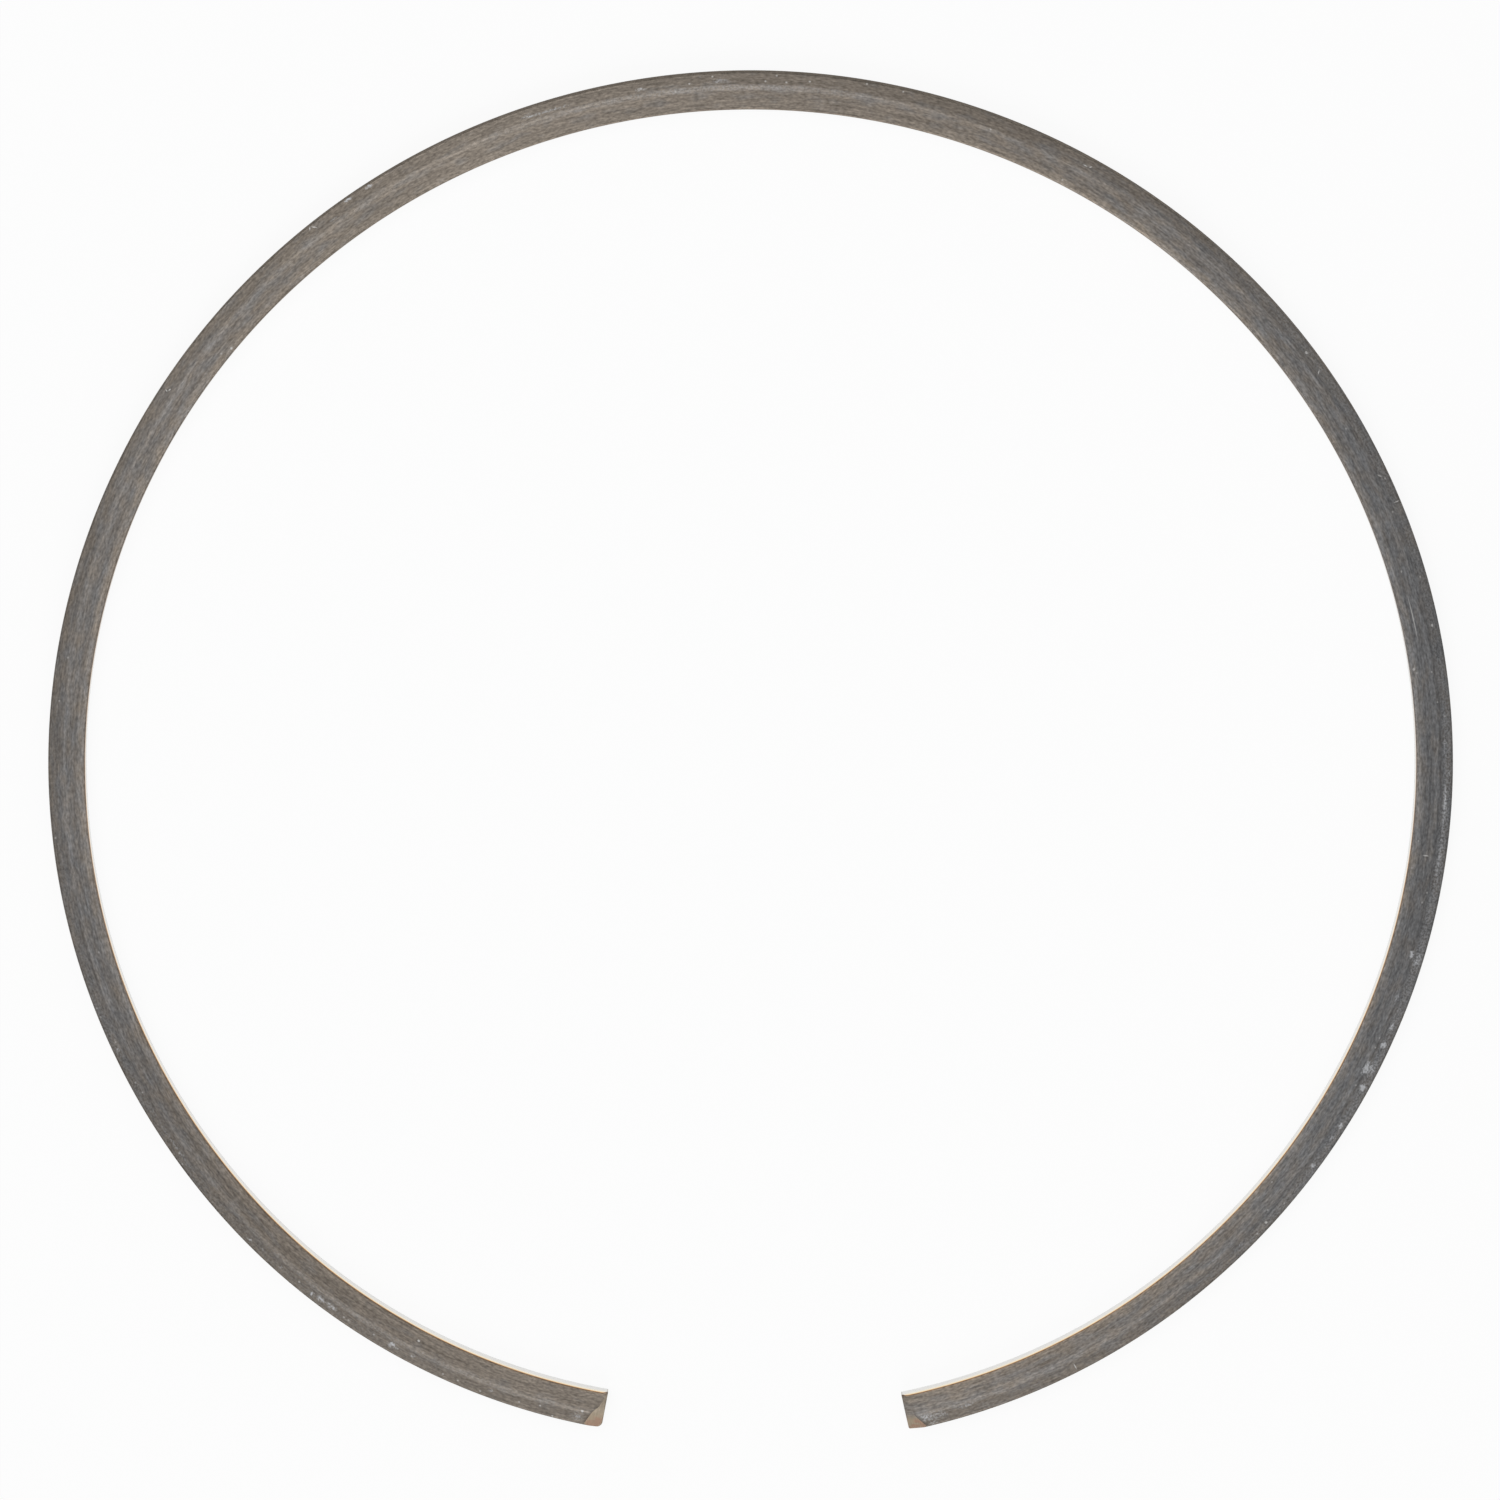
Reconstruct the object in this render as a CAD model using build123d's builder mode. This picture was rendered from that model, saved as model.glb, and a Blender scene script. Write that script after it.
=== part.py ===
from build123d import *
from math import cos, radians, sin
import os

# Snap ring: one piece of flat steel wire, bent edgewise into an open ring with a wide gap.
# Millimetres. The ring lies on the XY plane, its gap towards -Y and its bevelled face up.
# The origin is the centre of the main arc, halfway through the wire's thickness.

# Wire section
outer_diameter = 181.0
radial_width = 4.8
thickness = 2.7
edge_radius = 0.3
lip_width = 2.0
lip_drop = 0.2

# Free form, three arcs that run into each other. Directions count anticlockwise from +X.
main_arc_start = -50.0
main_arc_end = 222.0
left_end_radius = 84.6
left_end_turn = 37.7
right_end_radius = 85.8
right_end_turn = 28.1

# Ground facets on the top of each end: how far back they reach along the inner and outer edge
# of the wire, and how deep they are at the end's outer corner
left_bevel_inner_reach = 0.1
left_bevel_outer_reach = 1.8
left_bevel_depth = 0.6
left_corner_reach = 3.2
left_corner_span = 3.9
left_corner_depth = 0.9
left_corner_round = 0.7
right_bevel_inner_reach = 0.6
right_bevel_outer_reach = 1.5
right_bevel_depth = 0.5
right_corner_reach = 2.9
right_corner_span = 3.2
right_corner_depth = 1.4
right_corner_round = 0.2

outer_radius = outer_diameter / 2
top = thickness / 2


def direction(angle):
    """Unit vector in the ring's plane at an angle from +X."""
    return Vector(cos(radians(angle)), sin(radians(angle)), 0)


def wire_section(angle):
    """Upright section of the wire, on the radius of the main arc at an angle from +X.

    The four edges are rounded, and the top slopes down over the lip at the outer side.
    """
    upright = Plane((0, 0, 0), x_dir=direction(angle), z_dir=direction(angle - 90))
    inner_radius = outer_radius - radial_width
    with BuildSketch(upright) as section:
        with BuildLine():
            Polyline(
                (inner_radius, -top),
                (outer_radius, -top),
                (outer_radius, top - lip_drop),
                (outer_radius - lip_width, top),
                (inner_radius, top),
                close=True,
            )
        make_face()
        columns = section.vertices().group_by(Axis.X)
        fillet(columns[0] + columns[-1], radius=edge_radius)
    return section.sketch


def facet_plane(first, second, lowest):
    """Plane through three points, with its normal pointing up."""
    normal = (second - first).cross(lowest - first)
    return Plane(first, z_dir=normal if normal.Z > 0 else -normal)


def ground_end(junction, side, radius, turn, bevel, corner, corner_round):
    """One end of the wire, from the main arc's end to the gap.

    It carries the section on round a smaller circle, tangent to the main arc at the junction,
    and stops square to the wire. side is 1 anticlockwise and -1 clockwise. A shallow bevel runs
    along the top of the end, and a steeper facet takes off the outer corner of the bevel.
    """
    centre = direction(junction) * (outer_radius - radius)
    outward = direction(junction + side * turn)
    back = direction(junction + side * (turn - 90))
    inner_corner = centre + outward * (radius - radial_width)

    def spot(along, across, depth):
        return inner_corner + back * along + outward * across + Vector(0, 0, top - depth)

    inner_reach, outer_reach, bevel_depth = bevel
    corner_reach, corner_span, corner_depth = corner
    with BuildPart() as end:
        revolve(wire_section(junction), axis=Axis(centre, (0, 0, side)), revolution_arc=turn)
        bevel_plane = facet_plane(
            spot(inner_reach, 0, 0),
            spot(outer_reach, radial_width, 0),
            spot(0, radial_width, bevel_depth),
        )
        split(bisect_by=bevel_plane, keep=Keep.BOTTOM)
        corner_plane = facet_plane(
            spot(0, radial_width - corner_span, 0),
            spot(corner_reach, radial_width, 0),
            spot(0, radial_width, corner_depth),
        )
        split(bisect_by=corner_plane, keep=Keep.BOTTOM)
        round_centre = spot(corner_round, radial_width - corner_round, top)
        with BuildSketch(Plane(round_centre, x_dir=outward, z_dir=(0, 0, side))):
            Rectangle(2 * corner_round, 2 * corner_round, align=(Align.MIN, Align.MIN))
            Circle(corner_round, mode=Mode.SUBTRACT)
        extrude(amount=thickness, both=True, mode=Mode.SUBTRACT)
    return end.part


left_end = ground_end(
    main_arc_end,
    1,
    left_end_radius,
    left_end_turn,
    (left_bevel_inner_reach, left_bevel_outer_reach, left_bevel_depth),
    (left_corner_reach, left_corner_span, left_corner_depth),
    left_corner_round,
)
right_end = ground_end(
    main_arc_start,
    -1,
    right_end_radius,
    right_end_turn,
    (right_bevel_inner_reach, right_bevel_outer_reach, right_bevel_depth),
    (right_corner_reach, right_corner_span, right_corner_depth),
    right_corner_round,
)

with BuildPart() as snap_ring:
    main_sweep = main_arc_end - main_arc_start
    revolve(wire_section(main_arc_start), axis=Axis.Z, revolution_arc=main_sweep)
    add(left_end)
    add(right_end)

snap_ring.part.label = "snap_ring"

os.makedirs("parts", exist_ok=True)
export_step(snap_ring.part, "parts/snap_ring.step")
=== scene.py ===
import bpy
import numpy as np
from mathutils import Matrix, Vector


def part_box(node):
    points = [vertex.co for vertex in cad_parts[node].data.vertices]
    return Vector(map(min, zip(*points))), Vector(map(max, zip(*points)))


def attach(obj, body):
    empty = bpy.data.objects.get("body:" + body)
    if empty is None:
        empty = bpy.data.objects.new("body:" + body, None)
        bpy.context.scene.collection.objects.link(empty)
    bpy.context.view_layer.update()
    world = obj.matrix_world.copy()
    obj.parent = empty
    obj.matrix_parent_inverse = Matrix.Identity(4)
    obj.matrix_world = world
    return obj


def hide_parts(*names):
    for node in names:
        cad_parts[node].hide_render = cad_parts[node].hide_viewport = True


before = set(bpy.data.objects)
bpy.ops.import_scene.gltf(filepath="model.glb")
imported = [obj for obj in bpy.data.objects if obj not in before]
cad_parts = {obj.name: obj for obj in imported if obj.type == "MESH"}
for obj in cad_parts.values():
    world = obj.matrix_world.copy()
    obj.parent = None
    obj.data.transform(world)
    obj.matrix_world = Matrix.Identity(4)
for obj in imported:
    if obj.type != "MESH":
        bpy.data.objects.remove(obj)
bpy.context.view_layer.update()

# Dresses the snap ring: a ring of flat, dark spring steel wire with a wide gap between its ends.
# Lengths are millimetres until a mesh or a lamp is made. The ring lies on the XY plane, its gap
# towards -Y. Directions count anticlockwise from +X, in degrees, seen from above.

MM = 0.001
NODE = "snap_ring"
BODY = "root"

# Section of the wire. Its outer radius and its thickness are those of the solid.
low_corner, high_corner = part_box(NODE)
OUTER_RADIUS = high_corner.y / MM
THICKNESS = (high_corner.z - low_corner.z) / MM
TOP = THICKNESS / 2
WIDTH = 4.8
EDGE_RADIUS = 0.3
LIP_WIDTH = 2.0
LIP_DROP = 0.2

# Free form: the main arc, and a smaller arc at each end
RIGHT_JUNCTION = -50.0
LEFT_JUNCTION = 222.0
RIGHT_RADIUS = 85.8
LEFT_RADIUS = 84.6
RIGHT_END = RIGHT_JUNCTION - 28.1
LEFT_END = LEFT_JUNCTION + 37.7

# Ground facets on the top of each end: (inner reach, outer reach, depth) of the bevel that runs
# along the end, (reach, span, depth) of the facet that takes off its outer corner, and the
# rounding of that corner seen from above
RIGHT_BEVEL = (0.6, 1.5, 0.5)
RIGHT_CORNER = (2.9, 3.2, 1.4)
RIGHT_CORNER_ROUND = 0.2
LEFT_BEVEL = (0.1, 1.8, 0.6)
LEFT_CORNER = (3.2, 3.9, 0.9)
LEFT_CORNER_ROUND = 0.7

# Fine shape of the ends: the broken edge round the end face, and the burr at its inner corner
EDGE_BREAK = 0.07
BURR_HEIGHT = 0.3
BURR_LENGTH = 0.45
BURR_SPREAD = 0.4

# Grid of the wire, round its section: points over a rounded edge, the lip, the flat part, the
# underside and a wall
EDGE_COLUMNS = 8
LIP_COLUMNS = 10
FLAT_COLUMNS = 12
UNDER_COLUMNS = 7
WALL_COLUMNS = 6

# Grid of the wire, along it: rows over the broken edge, over the facets, and behind them as far as
# NEAR_LENGTH from the end, how much the last two crowd together at their start, and the spacing of
# all other rows. Where the facets don't reach, their rows still fill LEAST_FACET.
BREAK_ROWS = 6
FACET_ROWS = 12
FACET_CROWDING = 1.3
NEAR_ROWS = 22
NEAR_CROWDING = 1.4
NEAR_LENGTH = 5.0
LEAST_FACET = 0.14
ROW_SPACING = 0.7

# End faces: how large each inner loop of points is, as shares of the rim. Edges that turn by more
# than SHARP_ANGLE are sharp.
CAP_SHARES = (0.8, 0.5, 0.2)
SHARP_ANGLE = 16.0

# Flat layout of the surface for painting: the wire in lanes, and the end faces beside them
LANES = 6
LANE_PITCH = 15.7
LANE_MARGIN = 0.5
LANE_START = 2 * LANE_MARGIN
CAP_GAP = 5 * LANE_MARGIN
CAP_PITCH = 8.0

# Finishes, by their place in the list of materials
DRAWN, INNER_WALL, GROUND = range(3)


def outer_arc(direction):
    """Centre x, centre y and outer radius of the arc that holds each direction."""
    right = direction < RIGHT_JUNCTION
    left = direction > LEFT_JUNCTION
    radius = np.where(right, RIGHT_RADIUS, np.where(left, LEFT_RADIUS, OUTER_RADIUS))
    junction = np.radians(np.where(right, RIGHT_JUNCTION, LEFT_JUNCTION))
    shift = OUTER_RADIUS - radius
    return shift * np.cos(junction), shift * np.sin(junction), radius


def path_distance(direction):
    """Distance along the middle of the wire from its right end: radius times turn, summed."""
    knots = (RIGHT_END, RIGHT_JUNCTION, LEFT_JUNCTION, LEFT_END)
    radii = np.array([RIGHT_RADIUS, OUTER_RADIUS, LEFT_RADIUS]) - WIDTH / 2
    reached = np.concatenate([[0], np.cumsum(radii * np.radians(np.diff(knots)))])
    return np.interp(direction, knots, reached)


def top_height(inset):
    """Height of the wire's upper surface at a distance in from the outer edge.

    The lip's slope and the flat part, lowered at each edge by a quarter circle.
    """
    slope = LIP_DROP / LIP_WIDTH
    lip = TOP - LIP_DROP + slope * inset
    centre = TOP - LIP_DROP + slope * EDGE_RADIUS - EDGE_RADIUS * np.hypot(1, slope)
    reach = np.clip(EDGE_RADIUS - inset, 0, EDGE_RADIUS)
    rounded = centre + np.sqrt(EDGE_RADIUS**2 - reach**2)
    tangent = EDGE_RADIUS * (1 - np.sin(np.arctan(slope)))
    surface = np.where(inset < tangent, rounded, np.minimum(lip, TOP))
    over = np.clip(inset - (WIDTH - EDGE_RADIUS), 0, EDGE_RADIUS)
    return surface - EDGE_RADIUS + np.sqrt(EDGE_RADIUS**2 - over**2)


def bottom_height(inset):
    """Height of the flat underside at a distance in from the outer edge, with rounded edges."""
    over = np.maximum(EDGE_RADIUS - inset, inset - (WIDTH - EDGE_RADIUS))
    over = np.clip(over, 0, EDGE_RADIUS)
    return -TOP + EDGE_RADIUS - np.sqrt(EDGE_RADIUS**2 - over**2)


def section_columns():
    """Columns of the grid round the wire's section, from its lower outer edge over the top.

    Gives each column's side, its distance in from the outer edge, and for the two walls its share
    of the height between their lower and upper edge.
    """
    quarter = EDGE_RADIUS * (1 - np.cos(np.linspace(0, np.pi / 2, EDGE_COLUMNS)))
    lip = np.linspace(EDGE_RADIUS, LIP_WIDTH, LIP_COLUMNS)[1:-1]
    flat = np.linspace(LIP_WIDTH, WIDTH - EDGE_RADIUS, FLAT_COLUMNS)[:-1]
    top = np.concatenate([quarter, lip, flat, WIDTH - quarter[::-1]])
    middle = np.linspace(WIDTH - EDGE_RADIUS, EDGE_RADIUS, UNDER_COLUMNS)[1:-1]
    under = np.concatenate([WIDTH - quarter, middle, quarter[::-1]])
    up = np.linspace(0, 1, WALL_COLUMNS)[1:-1]
    lengths = [len(up), len(top), len(up), len(under)]
    side = np.repeat(["outer", "top", "inner", "under"], lengths)
    inset = np.concatenate([0 * up, top, WIDTH + 0 * up, under])
    share = np.concatenate([up, 0 * top, up[::-1], 0 * under])
    return side, inset, share


def facet_planes(bevel, corner):
    """The bevel and the corner facet, each as its slope, its reach at the outer edge and its taper.

    A facet lies below the top by its slope times what is left of its reach, and the reach gets
    shorter by the taper times the inset.
    """
    inner_reach, outer_reach, depth = bevel
    reach, span, drop = corner
    taper = (outer_reach - inner_reach) / WIDTH
    return [(depth / outer_reach, outer_reach, taper), (drop / reach, reach, reach / span)]


def facet_height(planes, along, inset):
    """Height of the lower facet at a distance along the wire from its end, and an inset."""
    heights = [TOP - slope * (reach - taper * inset - along) for slope, reach, taper in planes]
    return np.minimum(*heights)


def facet_reach(planes, inset):
    """How far from the end the facets still cut the wire's upper surface, at an inset."""
    drop = TOP - top_height(inset)
    reaches = [reach - taper * inset - drop / slope for slope, reach, taper in planes]
    return np.maximum(np.maximum(*reaches), LEAST_FACET)


def end_rows(planes, side, inset):
    """Distance along the wire from its end, for each row and column of the grid over that end.

    The rows fan out so that one of them follows the edge of the facets. Before it they share the
    facets' reach at their column, and behind it they share the rest of NEAR_LENGTH.
    """
    outer, inner = facet_reach(planes, 0.0), facet_reach(planes, WIDTH)
    below = inner + (outer - inner) * (1 - inset / WIDTH)
    edge = np.where(side == "top", facet_reach(planes, inset), below)
    broken = EDGE_BREAK * (1 - np.cos(np.linspace(0, np.pi / 2, BREAK_ROWS + 1)))[:, None]
    facet = np.linspace(0, 1, FACET_ROWS + 1)[1:, None] ** FACET_CROWDING
    behind = np.linspace(0, 1, NEAR_ROWS + 1)[1:, None] ** NEAR_CROWDING
    along = [
        broken + 0 * edge,
        EDGE_BREAK + facet * (edge - EDGE_BREAK),
        edge + behind * (NEAR_LENGTH - edge),
    ]
    return np.concatenate(along), edge


def wire_rows():
    """Direction of each point of the grid, its distance from the nearer end, and the facets' edge.

    Over an end, a row turns from it by the arc sine of its distance over its radius. Between the
    ends the rows are spread evenly, and their distance counts as NEAR_LENGTH.
    """
    side, inset = section_columns()[:2]
    right_along, right_edge = end_rows(facet_planes(RIGHT_BEVEL, RIGHT_CORNER), side, inset)
    left_along, left_edge = end_rows(facet_planes(LEFT_BEVEL, LEFT_CORNER), side, inset)
    right = RIGHT_END + np.degrees(np.arcsin(right_along / (RIGHT_RADIUS - inset)))
    left = LEFT_END - np.degrees(np.arcsin(left_along / (LEFT_RADIUS - inset)))[::-1]
    length = path_distance(LEFT_END) - 2 * NEAR_LENGTH
    between = np.linspace(0, 1, round(length / ROW_SPACING))[1:-1, None]
    between = right[-1] + between * (left[0] - right[-1])
    direction = np.concatenate([right, between, left])
    along = np.concatenate([right_along, 0 * between + NEAR_LENGTH, left_along[::-1]])
    right_half = np.arange(len(direction))[:, None] < len(direction) / 2
    return direction, along, np.where(right_half, right_edge, left_edge)


def wire_points(direction, along):
    """The wire's surface as a grid of points, rows along it and columns round it.

    A point is its arc's centre, plus the arc's radius less the inset in the row's direction, at
    the height of the section there or of the facets, whichever is lower.
    """
    side, inset, share = section_columns()
    rows = len(direction)
    row = np.arange(rows)[:, None]
    from_end = np.minimum(row, rows - 1 - row)
    right_half = row < rows / 2

    # Rounded in plan, the outer corner pushes the outer half of the section inwards.
    corner = np.where(right_half, RIGHT_CORNER_ROUND, LEFT_CORNER_ROUND)
    taken = corner - np.sqrt(corner**2 - np.clip(corner - along, 0, corner) ** 2)
    inset = inset + taken * np.clip(1 - 2 * inset / WIDTH, 0, 1)

    right_facets = facet_height(facet_planes(RIGHT_BEVEL, RIGHT_CORNER), along, inset)
    left_facets = facet_height(facet_planes(LEFT_BEVEL, LEFT_CORNER), along, inset)
    facets = np.where(right_half, right_facets, left_facets)
    over_end = from_end <= BREAK_ROWS + FACET_ROWS + NEAR_ROWS
    upper = np.where(over_end, np.minimum(top_height(inset), facets), top_height(inset))
    lower = bottom_height(inset)
    wall = (side == "outer") | (side == "inner")
    height = np.where(wall, lower + share * (upper - lower), np.where(side == "top", upper, lower))

    # The edge round each end face is broken: the section shrinks over the last rows.
    turn = np.clip(1 - from_end / BREAK_ROWS, 0, 1) * np.pi / 2
    shrink = EDGE_BREAK * (1 - np.cos(turn))
    inset = WIDTH / 2 + (inset - WIDTH / 2) * (1 - 2 * shrink / WIDTH)
    height = height * (1 - shrink / TOP)

    # A burr draws the upper inner corner out towards the middle of the ring.
    gap = np.hypot(inset - WIDTH, height - TOP)
    burr = BURR_HEIGHT * np.exp(-((along / BURR_LENGTH) ** 2) - (gap / BURR_SPREAD) ** 2)
    centre_x, centre_y, radius = outer_arc(direction)
    reach = radius - inset - burr
    angle = np.radians(direction)
    return np.stack([
        centre_x + reach * np.cos(angle),
        centre_y + reach * np.sin(angle),
        height + 0 * reach,
    ], axis=-1)


def drawn_in(rim):
    """Rows that close an end face: its rim drawn in evenly towards its middle, and that middle."""
    middle = rim.mean(axis=0)
    shares = np.array(CAP_SHARES)[:, None, None]
    return middle + (rim - middle) * shares, middle


def wire_faces(rows, columns):
    """Four-sided faces between neighbouring rows and columns, and a fan of triangles to each pole.

    Corners are numbers of points, row by row, with the two poles last. The columns close round
    the wire, so what follows the last column is the first.
    """
    row, column = np.divmod(np.arange((rows - 1) * columns), columns)
    after = (column + 1) % columns
    quads = np.stack([
        row * columns + column,
        (row + 1) * columns + column,
        (row + 1) * columns + after,
        row * columns + after,
    ], axis=1)
    here = np.arange(columns)
    there = (here + 1) % columns
    last = (rows - 1) * columns
    pole = rows * columns + 0 * here
    right_fan = np.stack([here, there, pole], axis=1)
    left_fan = np.stack([last + there, last + here, pole + 1], axis=1)
    return row, column, quads, np.concatenate([right_fan, left_fan])


def add_layout(mesh, name, corners):
    """A UV map with these places for the corners of the faces."""
    layer = mesh.uv_layers.new(name=name)
    layer.data.foreach_set("uv", corners.astype(np.float32).ravel())


def wire_mesh():
    """The wire as one closed mesh, with its layouts, its finishes and the distance to the facets."""
    side, section_inset = section_columns()[:2]
    direction, along, edge = wire_rows()
    grid = wire_points(direction, along)
    right_cap, right_pole = drawn_in(grid[0])
    left_cap, left_pole = drawn_in(grid[-1])
    caps = len(CAP_SHARES)
    points = np.concatenate([right_cap[::-1], grid, left_cap])
    rows, columns = points.shape[:2]
    points = np.concatenate([points.reshape(-1, 3), [right_pole, left_pole]])
    row, column, quads, fans = wire_faces(rows, columns)
    mesh = bpy.data.meshes.new("ring_wire")
    mesh.from_pydata((points * MM).tolist(), [], quads.tolist() + fans.tolist())

    # Places on the wire: distance along it, and distance round it from the upper outer edge
    pad = [(caps, caps), (0, 0)]
    distance = np.append(np.pad(path_distance(direction), pad, mode="edge"), [0, 0])
    loop = np.vstack([grid[rows // 2], grid[rows // 2, :1]])
    around = np.concatenate([[0], np.cumsum(np.linalg.norm(np.diff(loop, axis=0), axis=1))])
    around = around - around[np.argmax(side == "top")]
    on_wire = np.stack([distance[quads], around[column[:, None] + [0, 0, 1, 1]]], axis=-1)

    # Places on an end face: height, and inset from the outer edge
    middle = np.append(np.pad(direction, pad, mode="edge"), [RIGHT_END, LEFT_END])
    centre_x, centre_y, radius = outer_arc(middle)
    inset = radius - np.hypot(points[:, 0] - centre_x, points[:, 1] - centre_y)
    on_face = np.stack([points[:, 2], inset], axis=-1)

    # In the wire's own layout an end face lies before or behind the wire.
    cap = (row < caps) | (row >= rows - 1 - caps)
    corners = np.where(cap[:, None, None], on_face[quads] - [CAP_PITCH, 0], on_wire)
    fan_corners = on_face[fans] - [CAP_PITCH, 0]
    add_layout(mesh, "wire", np.concatenate([corners.reshape(-1, 2), fan_corners.reshape(-1, 2)]))

    # In the layout for painting, lanes of the wire lie side by side, and end faces beside them.
    lane_length = path_distance(LEFT_END) / LANES
    face_distance = on_wire[:, :, 0].mean(axis=1)
    row_distance = face_distance.reshape(rows - 1, columns).mean(axis=1)[row]
    lane = np.clip(row_distance // lane_length, 0, LANES - 1)
    lane_corner = np.stack([lane * lane_length, -lane * LANE_PITCH + around[0]], axis=-1)
    in_lane = on_wire - lane_corner[:, None] + LANE_START
    beside = lane_length + CAP_GAP + TOP
    face_corner = [beside, LANE_MARGIN]
    on_left = (row > rows / 2)[:, None, None] * [0, CAP_PITCH]
    fan_left = (np.arange(len(fans)) >= columns)[:, None, None] * [0, CAP_PITCH]
    painted = np.where(cap[:, None, None], on_face[quads] + face_corner + on_left, in_lane)
    fan_painted = on_face[fans] + face_corner + fan_left
    painted = np.concatenate([painted.reshape(-1, 2), fan_painted.reshape(-1, 2)])
    add_layout(mesh, "OFBake", painted / max(LANES * LANE_PITCH, beside + TOP + LANE_MARGIN))

    # Distance behind the facets' edge, which only the upper side has
    behind = np.where(side == "top", along - edge, NEAR_LENGTH)
    behind = np.append(np.pad(behind, pad, mode="edge"), [0, 0])
    attribute = mesh.attributes.new("behind_facets", "FLOAT", "POINT")
    attribute.data.foreach_set("value", behind.astype(np.float32))

    # Finishes: the inner wall's own, which begins halfway round the rounded edges above and below
    # it, and the ground one on facets, end faces and broken edges
    after = (column + 1) % columns
    end_row = np.minimum(row, rows - 2 - row) - caps
    turning = section_inset[column] > WIDTH - EDGE_RADIUS * (1 - np.sqrt(0.5))
    inner = (side[column] == "inner") | (side[after] == "inner")
    inner = inner | (turning & (side[column] != "outer"))
    top = (side[column] == "top") & (side[after] == "top")
    outer = (side[column] == "outer") | (side[after] == "outer")
    nearest = np.append(np.pad(along, pad, mode="edge"), [0, 0])[quads].mean(axis=1)
    corner = np.where(row < rows / 2, RIGHT_CORNER_ROUND, LEFT_CORNER_ROUND)
    ground = (end_row < BREAK_ROWS) | (top & (end_row < BREAK_ROWS + FACET_ROWS))
    ground = ground | (outer & (nearest < corner))
    finish = np.where(ground, GROUND, np.where(inner, INNER_WALL, DRAWN))
    finish = np.append(finish, np.full(len(fans), GROUND))
    mesh.polygons.foreach_set("material_index", finish.astype(np.int32))
    mesh.polygons.foreach_set("use_smooth", np.ones(len(finish), bool))
    mesh.set_sharp_from_angle(angle=np.radians(SHARP_ANGLE))
    mesh.update()
    return mesh


def across(inset):
    """Place round the wire of a point of the upper surface, past its rounded outer edge.

    That edge is a quarter circle, one radius wide and a half pi radii long.
    """
    return inset + (np.pi / 2 - 1) * EDGE_RADIUS


# Turn of a highlight from the line of the wire, as a share of a full turn
QUARTER_TURN = 0.25


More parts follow.
